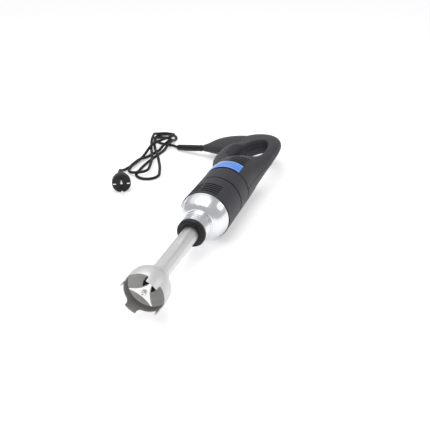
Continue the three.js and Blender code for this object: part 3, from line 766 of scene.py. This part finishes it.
@dataclass(frozen=True)
class MainsCord:
    """The mains cord: out of the guard, folded in a figure of eight, and on to the plug.

    The hank's own axes run along it from its middle and across it. ENTRY gives the way in by place and
    height, EXIT the way out by place and layers of cord below, and TAIL the way to the plug on the floor.
    Climb is the rise over one strand, pitch the distance between points, bow the sway of the straights
    between folds, and last_turn the angle at which the cord leaves its last fold.
    """

    middle: tuple[float, float] = (-234.0, 305.0)
    heading: tuple[float, float] = (-0.273, 0.962)
    lying: float = CORD_RADIUS + 0.3
    climb: float = 6.4
    pitch: float = 5.5
    bow: float = 3.0
    last_turn: float = -118.0
    length: float = 1.5

    FOLDS = (
        Fold(101, -6, 26, True), Fold(-107, 2, 24.5, False), Fold(86, -2, 19.8, True),
        Fold(-92, 23.5, 21.5, False), Fold(93.5, -3, 24, True))
    ENTRY = (
        (51, -31, 5.4), (56, -22, 4.0), (61, -12, 3.4), (66, -3, 3.4), (72, 6, 3.4), (79, 13.2, 3.4),
        (89, 18.4, 3.4))
    EXIT = ((48, 4, 2.0), (28, 14, 2.0), (8, 21, 1.2), (-14, 27, 0.3), (-38, 34.5, 0.0), (-62, 42.5, 0.0))
    TAIL = (
        (-259.4, 224, 3.4), (-261.5, 200, 5), (-261, 186, 10), (-257.4, 175.5, 16), (-252.2, 167, 19.15),
        (-247.4, 158.7, 19.15))

    def on_floor(self, along: float, across: float, height: float) -> Vector:
        """A point of the hank's own axes as a floor point."""
        ax, ay = self.heading
        return Vector((
            self.middle[0] + along * ax - across * ay, self.middle[1] + along * ay + across * ax, height))

    def crossing(self, start: Fold, end: Fold) -> tuple[Vector, float]:
        """The straight that crosses between two folds.

        Args:
            start: the fold that the cord leaves.
            end: the fold that it runs to.

        Returns:
            The straight's normal, as a vector and as an angle.
        """
        gap = end.centre - start.centre
        lean = math.acos(start.sign * (start.radius + end.radius) / gap.length)
        angle = math.atan2(gap.y, gap.x) + lean
        return Vector((math.cos(angle), math.sin(angle))), angle

    def height(self, fold: int, spot: Vector, straight: bool) -> float:
        """Height of the cord's middle, where it lies on the floor or over other strands.

        Args:
            fold: number of the fold that the cord is on or has just left.
            spot: the point in the hank's axes.
            straight: whether the cord has left the fold.

        Returns:
            The height in millimetres.
        """
        down = min(ease(spot.x, 92, 70), ease(spot.x, 22, 46))
        up = min(ease(spot.x, -45, -16), ease(spot.x, 108, 80))
        lift = {
            (0, False): down if spot.y < 0 else 0.0,
            (0, True): down,
            (1, False): 0.0,
            (1, True): up,
            (2, False): down if spot.y < -6 else up,
            (2, True): max(down, ease(spot.x, -12, -50)),
            (3, False): 1.0 - 0.6 * ease(spot.y, 20, 44),
            (3, True): 1.0 + ease(spot.x, 38, 56),
            (4, False): 2.0 - ease(spot.x, 92, 117),
        }[fold, straight]
        return self.lying + self.climb * lift

    def wound(self) -> list[Vector]:
        """The folds and the straights between them, as floor points."""
        spots: list[tuple[int, Vector, bool]] = []
        entry_angle = math.pi / 2
        for index, fold in enumerate(self.FOLDS):
            last = index == len(self.FOLDS) - 1
            if last:
                angle = math.radians(self.last_turn)
            else:
                normal, angle = self.crossing(fold, self.FOLDS[index + 1])
                angle -= 0.0 if fold.clockwise else math.pi
            while fold.sign * (angle - entry_angle) > 0:
                angle -= fold.sign * 2 * math.pi
            count = round(abs(angle - entry_angle) * fold.radius / self.pitch)
            for step in range(count + 1):
                turn = entry_angle + (angle - entry_angle) * step / count
                out = Vector((math.cos(turn), math.sin(turn)))
                spots.append((index, fold.centre + fold.radius * out, False))
            if last:
                break
            end = self.FOLDS[index + 1]
            goal = end.centre - fold.sign * end.radius * normal
            start = spots[-1][1]
            count = round((goal - start).length / self.pitch)
            for step in range(1, count):
                bow = normal * (fold.sign * self.bow * math.sin(2 * math.pi * step / count))
                spots.append((index, start.lerp(goal, step / count) + bow, True))
            out = goal - end.centre
            entry_angle = math.atan2(out.y, out.x)
        return [
            self.on_floor(spot.x, spot.y, self.height(index, spot, straight))
            for index, spot, straight in spots]

    def route(self) -> list[Vector]:
        """The cord's whole centreline on the floor, in millimetres."""
        tip = FLOOR.inverted() @ (TOOL @ Vector(GUARD_TIP))
        inside = FLOOR.inverted() @ (TOOL @ Vector((GUARD_TIP[0] + 9, GUARD_TIP[1] - 2.2, 0)))
        wound = self.wound()
        entry = [inside, tip, *(self.on_floor(*spot) for spot in self.ENTRY)]
        leaving = [
            self.on_floor(along, across, self.lying + self.climb * layers)
            for along, across, layers in self.EXIT]
        tail = [wound[-1], *leaving, *self.TAIL]
        return smooth_line([*entry, wound[0]], 2)[:-1] + wound[:-1] + smooth_line(tail, 2)

    def build(self, material: bpy.types.Material) -> bpy.types.Object:
        """Makes the cord as one curve and ties it to the frame."""
        data = bpy.data.curves.new("mains_cord", "CURVE")
        data.dimensions, data.bevel_depth, data.bevel_resolution = "3D", CORD_RADIUS * MM, 5
        data.resolution_u, data.use_fill_caps = 4, True
        spline = data.splines.new("NURBS")
        points = [FLOOR @ point for point in self.route()]
        spline.points.add(len(points) - 1)
        for knot, point in zip(spline.points, points):
            knot.co = (*point, 1.0)
        spline.order_u, spline.use_endpoint_u = 4, True
        cord = bpy.data.objects.new("mains_cord", data)
        bpy.context.scene.collection.objects.link(cord)
        data.materials.append(material)
        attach(cord, Body.ROOT.value)
        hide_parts("cord_lead", "cord_hank", "cord_tail")
        reach = sum((b - a).length for a, b in zip(points, points[1:]))
        log.info("mains_cord: %.3f m through %d points", reach, len(points))
        return cord


@dataclass(frozen=True)
class Plug:
    """The round moulded plug with its pins and earth clips."""

    radius: float = 18.75
    yaw: float = 29.9
    face: tuple[float, float] = (-220.0, 111.0)
    pin_radius: float = 2.4
    pin_pitch: float = 19.0
    pin_length: float = 19.0

    def place(self) -> Matrix:
        """From the plug's axes, with v running back from its face, to the frame."""
        spot = Matrix.Translation((*self.face, self.radius + FLOOR_GAP))
        return FLOOR @ spot @ Matrix.Rotation(math.radians(self.yaw), 4, "Z")

    def body(self) -> Mesh:
        """The moulded body with its side slots, finger ribs and strain relief."""
        back = smooth_line(
            [(self.radius, 12.5), (17.6, 17), (13.8, 24), (10.2, 32), (8.7, 40), (7.7, 46)], 5)
        ribs = []
        for start in (46.0, 49.0, 52.0, 55.0):
            top = 6.6 - (start - 46) * 0.12
            low = top - 1.3
            ribs += [(top, start + 0.4), (top, start + 1.7), (low, start + 2.1), (low, start + 2.7)]
        front = [
            (0, 0.9), (12.6, 0.9), (13.2, 0), (15.4, 0), (17.8, 0), (18.5, 0.4), (self.radius, 1.3)]
        shape = turned([*front, *back, *ribs, (3.3, 58.2), (0, 58.2)], 96)
        slots = [block(sorted((side * 10.0, side * 29.0)), (-1, 9), (-1.9, 1.9)) for side in (-1, 1)]
        dimple = moved(rod((0, 0, 0), 2.4, 4), Matrix.Rotation(math.radians(90), 4, "X"))
        return carve(shape, gathered([*slots, moved(dimple, Matrix.Translation((0, 2.9, 0)))]))

    def pin(self, side: int) -> Mesh:
        """One round pin with a domed end."""
        tip = [(self.pin_radius * math.sin(a), -self.pin_length + 1.8 * (1 - math.cos(a)))
               for a in (math.radians(step) for step in range(0, 91, 15))]
        shape = turned([*tip, (self.pin_radius, 6.6), (0, 6.6)], 40)
        return moved(shape, Matrix.Translation((0, 0, side * self.pin_pitch / 2)))

    def clip(self, side: int) -> Mesh:
        """One folded earth clip in its side slot."""
        shape = block((10.6, 16.6), (0.1, 8.6), (-1.3, 1.3))
        rib = block((16.4, 17.2), (1.2, 7.6), (-0.8, 0.8))
        whole = soften(gathered([shape, rib]), 0.3, 2)
        return whole if side > 0 else moved(whole, Matrix.Rotation(math.radians(180), 4, "Y"))

    def build(self, paints: dict[str, bpy.types.Material]) -> list[bpy.types.Object]:
        """Makes the plug's pieces."""
        place = self.place()
        rubber, plated = paints["cord_rubber"], paints["plated_steel"]
        stands = Standing("plug_body", "cord_rubber")
        made = [finished("plug_moulding", self.body(), rubber, stands, place)]
        for side, pin, clip in ((1, "upper", "right"), (-1, "lower", "left")):
            stands = Standing(f"plug_pin_{pin}", "plated_steel")
            made.append(finished(f"pin_{pin}", self.pin(side), plated, stands, place))
            stands = Standing(f"earth_clip_{clip}", "plated_steel")
            made.append(finished(f"clip_{clip}", self.clip(side), plated, stands, place))
        return made


# ---------------------------------------------------------------- motor housing
@dataclass(frozen=True)
class MotorHousing:
    """Nose, vented sleeve, band, label and lock ring."""

    rows: int = 5
    vent_start: float = 8.0
    vent_pitch: float = 6.6
    vent_half: float = 1.7
    post_angle: float = 95.3
    post_half: float = 2.2
    reach: float = 40.0
    flutes: int = 24

    def nose(self) -> Mesh:
        """The aluminium nose: threaded collar, dome and spigot."""
        thread = []
        for start in (-56.0, -50.6, -45.2, -39.8):
            thread += [
                (22.9, start), (23.5, start + 0.5), (24.4, start + 1.5), (24.4, start + 3.7),
                (23.4, start + 4.6), (22.9, start + 5.2)]
        dome = smooth_line(
            [(25.6, -29.2), (28.4, -28.2), (34, -24), (39, -16.5), (42.3, -7.5), (43.4, -2.2)], 8)
        outside = [
            *thread, (24.6, -34.2), (25.3, -33.4), (25.3, -29.6), *dome, (43.6, -1.6), (43.6, -0.5),
            (43.2, 0)]
        inside = [
            (41.7, 0), (41.7, 6), (38.6, 6), (38.6, -2), (35, -12), (29, -19), (17, -21), (17, -10.2),
            (13.3, -10.2), (13.3, -20), (9, -20), (9, -24.6), (14.2, -24.6), (14.2, -56)]
        return turned([*outside, *inside], 160)

    def vents(self) -> Mesh:
        """Cutters for two banks of slots, one each side of a post."""
        near, far = BODY_RADIUS - 6, BODY_RADIUS + 3
        left, right = self.post_angle + self.post_half, self.post_angle - self.post_half - self.reach
        cutters = []
        for row in range(self.rows):
            middle = self.vent_start + self.vent_pitch * row
            low, high = middle - self.vent_half, middle + self.vent_half
            profile = [(near, low), (far, low), (far, high), (near, high)]
            cutters += [turned(profile, 20, start, self.reach) for start in (left, right)]
        return gathered(cutters)

    def sleeve(self) -> Mesh:
        """The vented sleeve."""
        wall = [
            (42, 0.3), (44, 0.3), (44.6, 0.5), (45, 1.1), (45, 61.8), (44.6, 62.4), (44.1, 62.6),
            (42, 62.6)]
        return carve(turned(wall, 160), self.vents())

    def band(self) -> Mesh:
        """The band between two grooves."""
        return turned([
            (39.1, 57.4), (41.7, 57.4), (41.7, 65.4), (44.1, 65.4), (44.6, 65.6), (45, 66.2), (45, 104),
            (44.6, 104.6), (44.1, 104.8), (41.7, 104.8), (41.7, 113.8), (39.1, 113.8)], 160)

    def lock_ring(self) -> Mesh:
        """The ring that locks the shaft, with finger flutes round it."""
        shape = turned([
            (14.2, -64.6), (16.6, -65.8), (20.6, -66), (22.6, -65.5), (23.9, -64.5), (24.6, -63),
            (24.6, -58), (24.3, -57), (23.6, -56.4), (14.2, -56.4)], 144)
        along_tool = Matrix.Translation((0, -63, 0)) @ Matrix.Rotation(math.radians(90), 4, "X")
        flutes = []
        for index in range(self.flutes):
            turn = Matrix.Rotation(math.radians(360 / self.flutes * index), 4, "Y")
            flutes.append(moved(rod((25.9, 0, -5.2), 1.9, 5.4, 12), turn @ along_tool))
        return carve(shape, gathered(flutes))

    def label(self) -> Mesh:
        """The thin curved label plate."""
        plate = [(45.3, 108.6), (45.9, 108.6), (45.9, 136), (45.3, 136)]
        return soften(turned(plate, 48, start=46.2, sweep=87.6), 0.2, least=40)

    def build(self, paints: dict[str, bpy.types.Material]) -> None:
        """Makes the housing's pieces."""
        plastic = paints["housing_plastic"]
        finished(
            "nose_turning", self.nose(), paints["polished_aluminium"],
            Standing("nose_housing", "polished_aluminium"))
        finished("sleeve_moulding", self.sleeve(), plastic, Standing("motor_sleeve", "housing_plastic"))
        finished("band_moulding", self.band(), plastic, Standing("motor_band", "housing_plastic"))
        finished(
            "ring_moulding", self.lock_ring(), paints["ring_plastic"],
            Standing("lock_ring", "ring_plastic", Body.RING))
        finished(
            "label_film", self.label(), paints["label_blue"], Standing("label_plate", "label_blue"))


# ---------------------------------------------------------------- shaft
@dataclass(frozen=True)
class Shaft:
    """Tube, bell guard, seal, blade and screw."""

    bell_radius: float = 32.6
    wall: float = 1.5
    rim: float = -236.0
    foot_tip: float = -247.0
    foot_angle: float = 43.2
    foot_half: float = 17.0
    gap_corner: float = 5.0
    blade_radius: float = 24.0
    blade_front: float = -235.0
    blade_back: float = -233.4
    blade_angle: float = 45.2
    tip_half: float = 1.7
    waist_radius: float = 5.0
    edge_steps: int = 12

    def bell(self) -> Mesh:
        """The domed guard with four feet."""
        outer, inner = self.bell_radius, self.bell_radius - self.wall
        dome = smooth_line(
            [(outer, -224), (31.7, -214.6), (28.0, -206.8), (21.8, -200.2), (17.8, -195.8),
             (15.9, -190.5), (15.5, -184.6)], 7)
        hollow = smooth_line(
            [(16.6, -197.5), (20.4, -201.2), (26.4, -207.6), (30, -214.8), (inner, -223)], 7)
        profile = [
            (inner, self.foot_tip), (outer, self.foot_tip), *dome, (15.2, -184), (14.2, -184),
            (14.2, -197.5), *hollow]
        half = outer * math.sin(math.radians(45 - self.foot_half))
        middle, shoulder = half - self.gap_corner, self.rim - self.gap_corner
        outline = [
            (-half, self.foot_tip - 3), (half, self.foot_tip - 3),
            *quarter((middle, shoulder), self.gap_corner, 0),
            *quarter((-middle, shoulder), self.gap_corner, 90)]
        cutters = []
        for index in range(4):
            angle = math.radians(self.foot_angle + 45 + 90 * index)
            cutters.append(moved(prism(outline, 16, 40), Matrix.Rotation(math.pi / 2 - angle, 4, "Y")))
        return soften(carve(turned(profile, 144), gathered(cutters)), 0.35, least=50)

    def line_inside(self, bell: bpy.types.Object, material: bpy.types.Material) -> None:
        """Gives the bell's inner faces their own material, with painted light in the dome and painted shade
        on the skirt wall.
        """
        bell.data.materials.append(material)
        into_tool = TOOL.inverted()
        for face in bell.data.polygons:
            spot = into_tool @ face.center
            way = (into_tool.to_3x3() @ face.normal).normalized()
            outward = Vector((spot.x, 0, spot.z)).normalized()
            if way.dot(outward) < -0.2 or (way.y < -0.3 and outward.dot(spot) < self.bell_radius - 3):
                face.material_index = 1

    def blade(self) -> Mesh:
        """The three-armed blade with ground edges."""
        outline = []
        for arm in range(3):
            tips = []
            for turn, side in ((0, -1), (0, 1), (120, -1)):
                angle = math.radians(self.blade_angle + 120 * arm + turn)
                across = Vector((-math.sin(angle), math.cos(angle))) * (self.tip_half * side)
                tips.append(Vector((math.cos(angle), math.sin(angle))) * self.blade_radius + across)
            waist_angle = math.radians(self.blade_angle + 120 * arm + 60)
            waist = Vector((math.cos(waist_angle), math.sin(waist_angle))) * self.waist_radius
            outline.append(tips[0])
            for step in range(self.edge_steps):
                t = step / self.edge_steps
                outline.append(tips[1] * (1 - t) ** 2 + waist * (2 * t * (1 - t)) + tips[2] * t**2)
        flat = prism(outline, 0, self.blade_back - self.blade_front)
        front = [edge for edge in flat.edges if all(vert.co.z < 0.01 for vert in edge.verts)]
        stand = Matrix(((1, 0, 0, 0), (0, 0, 1, self.blade_front), (0, 1, 0, 0), (0, 0, 0, 1)))
        upright = moved(bevelled(flat, front, 0.9, 1), stand)
        bmesh.ops.recalc_face_normals(upright, faces=upright.faces[:])
        bore = turned([(0, -239), (2.3, -239), (2.3, -229), (0, -229)], 32)
        return carve(upright, bore)

    def screw(self) -> Mesh:
        """The domed blade screw with a round recess in its head."""
        head = smooth_line(
            [(1.9, -239.3), (3.0, -238.9), (3.8, -238.0), (4.0, -236.6), (4.0, -235.3)], 4)
        return turned(
            [(0, -237.2), (1.3, -237.4), (1.5, -239.2), *head, (2, -235.3), (2, -226), (0, -226)], 48)

    def seal(self) -> Mesh:
        """The rubber seal behind the blade, with two lips."""
        return turned([
            (4.3, -221), (8.8, -221), (9.4, -220.4), (9.9, -218.6), (9.3, -217.6), (9.3, -216.8),
            (10.8, -216), (11.2, -210), (11.6, -197), (12.4, -195), (12.4, -186), (4.3, -186)], 64)

    def tube(self) -> Mesh:
        """The steel tube with rounded ends."""
        return turned([
            (12.7, -195.6), (13.0, -196), (13.6, -196), (13.9, -195.7), (13.9, -25.4), (13.6, -25),
            (13.0, -25), (12.7, -25.3)], 96)

    def build(self, paints: dict[str, bpy.types.Material]) -> None:
        """Makes the shaft's pieces."""
        finished(
            "tube_drawn", self.tube(), paints["stainless_steel"],
            Standing("shaft_tube", "stainless_steel", Body.FOOT))
        bell = finished(
            "bell_spun", self.bell(), paints["bell_steel"],
            Standing("bell_guard", "stainless_steel", Body.FOOT))
        self.line_inside(bell, paints["bell_inside_painted_light"])
        finished(
            "seal_moulding", self.seal(), paints["seal_rubber"],
            Standing("bell_seal", "seal_rubber", Body.FOOT))
        finished(
            "blade_ground", self.blade(), paints["blade_steel"],
            Standing("blade", "blade_steel", Body.DRIVE), crease=15)
        finished(
            "blade_cap_screw", self.screw(), paints["blade_steel"],
            Standing("blade_screw", "blade_steel", Body.DRIVE))


# ---------------------------------------------------------------- handle
@dataclass(frozen=True)
class Handle:
    """Two shells round the hand loop, with the trigger and the cord guard.

    A row of LOOP holds v, the left and right edge, half the thickness and the section's power. A row of
    LEFT_LIMB holds u, v, w and half the width, and one of HORN u, v, half across and half the thickness.
    GUARD holds whole loft stations, and RIM the hand hole's growth, as (w, growth), towards both faces.
    """

    rows: int = 5
    vent_start: float = 143.5
    vent_pitch: float = 8.5
    vent_half: float = 2.0
    screw_seat: float = -8.0
    seam_half: float = 0.45

    LOOP = (
        (107.4, -45, 45, 45, 2), (130, -45, 45, 45, 2), (153, -45.2, 45, 44, 2),
        (176, -47.5, 46.2, 39.5, 2), (199, -51.5, 48.7, 32, 2.1), (222, -56, 51, 25.5, 2.2),
        (245, -59.5, 52.8, 21.5, 2.3), (268, -61, 52.4, 19.5, 2.4), (291, -62, 52.6, 18.3, 2.4),
        (314, -62, 51.4, 17.4, 2.4), (337, -61.5, 47.4, 16.6, 2.4), (358, -60, 38.6, 15.6, 2.4),
        (374, -56, 26, 13.6, 2.3), (384, -48, 10, 10.4, 2.2), (389, -38, -3, 4.5, 2))
    LEFT_LIMB = (
        (-20, 150, 20, 16), (-29, 176, 18, 18), (-37, 204, 15, 19.5), (-41, 234, 12.5, 19.5),
        (-42, 264, 10.5, 19), (-39.5, 292, 6.5, 18.5), (-33, 316, 0, 16.5))
    HORN = (
        (-30, 350, 36, 13), (-55, 351, 40, 15), (-78, 349.5, 40, 15.5), (-96, 346.5, 35, 14.6),
        (-111, 343, 25.5, 12.2), (-124, 340.4, 14, 9), (-136.6, 339.4, 7.4, 7.2))
    HAND_HOLE = (
        (-26, 232), (-26, 262), (-25.5, 284), (-17, 309), (-2, 326), (13, 328), (24, 315), (30.5, 290),
        (33, 264), (31.5, 238), (24, 219), (8, 212), (-12, 212.5), (-23, 219))
    HOLE_MIDDLE = (3, 268)
    RIM = ((0, 0), (10, 0.2), (17, 2.6), (24, 7), (34, 14), (60, 24))
    SCREWS = ((38, 150), (-38, 150), (42.5, 262), (35, 318), (2, 358), (-46, 322), (-88, 362))
    GUARD = (
        (-127, 338.2, 0, 4.6, 4.6, 2), (-134.4, 339, 0, 4.8, 4.8, 2), (-136.4, 339.3, 0, 6.4, 6.4, 2),
        (-138.2, 339.5, 0, 6.9, 6.9, 2), (-141, 339.9, 0, 7.3, 7.3, 2), (-143.6, 340.3, 0, 7.3, 7.3, 2),
        (-145.2, 340.6, 0, 6.7, 6.7, 2), (-152, 341.6, 0, 7.1, 7.1, 2), (-178, 346.4, 0, 7.2, 7.2, 2),
        (-196, 351.2, 0, 6.6, 6.6, 2), (-203.6, 352.7, 0, 6.3, 6.3, 2), (-205, 353, 0, 5.6, 5.6, 2))

    def skin(self) -> Mesh:
        """Barrel, loop, left limb and horn as closed skins that run through each other."""
        loop = [
            ((left + right) / 2, v, 0, (right - left) / 2, thick, power)
            for v, left, right, thick, power in self.LOOP]
        limb = [(u, v, w, half, half, 2) for u, v, w, half in self.LEFT_LIMB]
        horn = [(u, v, 0, across, thick, 2.2) for u, v, across, thick in self.HORN]
        return gathered([loft(loop, 4, 96, heading=(0, 1, 0)), loft(limb, 4, 48), loft(horn, 4, 48)])

    def hand_hole(self) -> Mesh:
        """The cutter for the hand hole, wider towards both faces so that the rims roll over."""
        middle = Vector(self.HOLE_MIDDLE)
        outline = smooth_line(self.HAND_HOLE, 6, closed=True)
        below = [(-w, growth) for w, growth in reversed(self.RIM[1:])]
        shape = bmesh.new()
        last = None
        for w, growth in (*below, *self.RIM):
            ring, edges = hoop(shape, len(outline))
            for vert, point in zip(ring, outline):
                vert.co = (*(point + (point - middle).normalized() * growth), w)
            if last:
                bmesh.ops.bridge_loops(shape, edges=last + edges)
            last = edges
        return close_up(shape)

    def openings(self) -> Mesh:
        """Cutters for the air slots, the trigger's window and the screw pockets."""
        cutters = []
        for row in range(self.rows):
            middle = self.vent_start + self.vent_pitch * row
            slot = block((1, 30.5), (middle - self.vent_half, middle + self.vent_half), (-5, 60))
            cutters.append(soften(slot, 1.5, 3))
        cutters.append(block((-41, -22), (238.5, 263.5), (-5.8, 5.8)))
        for u, v in self.SCREWS:
            cutters.append(rod((u, v, -60), 3.7, 60 + self.screw_seat))
        return gathered(cutters)

    def half(self, whole: Mesh, side: int) -> Mesh:
        """One shell, cut from the whole beside the mid-plane, so that the seam shows as a fine gap."""
        other = sorted((self.seam_half * side, -100 * side))
        return carve(whole.copy(), block((-300, 200), (50, 450), other))

    def trigger(self) -> Mesh:
        """The trigger bar with a dished face, and its stem."""
        dish = [(-10.6 - 2.0 * math.sin(math.pi * t / 12), 230 + 4 * t) for t in range(1, 12)]
        near, far = quarter((-14, 229.4), 3.4, -90), quarter((-14, 278.6), 3.4, 0)
        bar = soften(prism([(-21, 226), *near, *dish, *far, (-21, 282)], -8, 8), 1.2, 3, 50)
        return gathered([bar, block((-34, -21.5), (241, 261), (-4.6, 4.6))])

    def guard(self) -> Mesh:
        """The moulded cord guard with a collar at the housing."""
        return loft(self.GUARD, 5, 40)

    def build(self, paints: dict[str, bpy.types.Material]) -> None:
        """Makes the handle's pieces."""
        plastic = paints["housing_plastic"]
        skin = remade(self.skin(), voxel=1.9, smooth=4)
        whole = remade(carve(skin, self.hand_hole()), voxel=1.45, smooth=9)
        whole = carve(whole, self.openings())
        for name, side in (("upper", 1), ("lower", -1)):
            stands = Standing(f"handle_shell_{name}", "housing_plastic")
            finished(f"handle_{name}_moulding", self.half(whole, side), plastic, stands)
        whole.free()
        finished(
            "trigger_moulding", self.trigger(), paints["control_plastic"],
            Standing("trigger", "control_plastic", Body.TRIGGER))
        finished(
            "guard_moulding", self.guard(), paints["cord_rubber"], Standing("cord_guard", "cord_rubber"))


def main() -> None:
    """Builds the scene in order and reports each piece."""
    logging.basicConfig(level=logging.INFO, format="%(message)s")
    studio = Studio()
    studio.camera()
    paints = {slot: finish.dress() for slot, finish in FINISHES.items()}
    mains = MainsCord()
    cord = mains.build(paints["cord_rubber"])
    Plug().build(paints)
    dress_frame(paints)
    MotorHousing().build(paints)
    Shaft().build(paints)
    Handle().build(paints)
    studio.set_up()


if __name__ == "__main__":
    main()
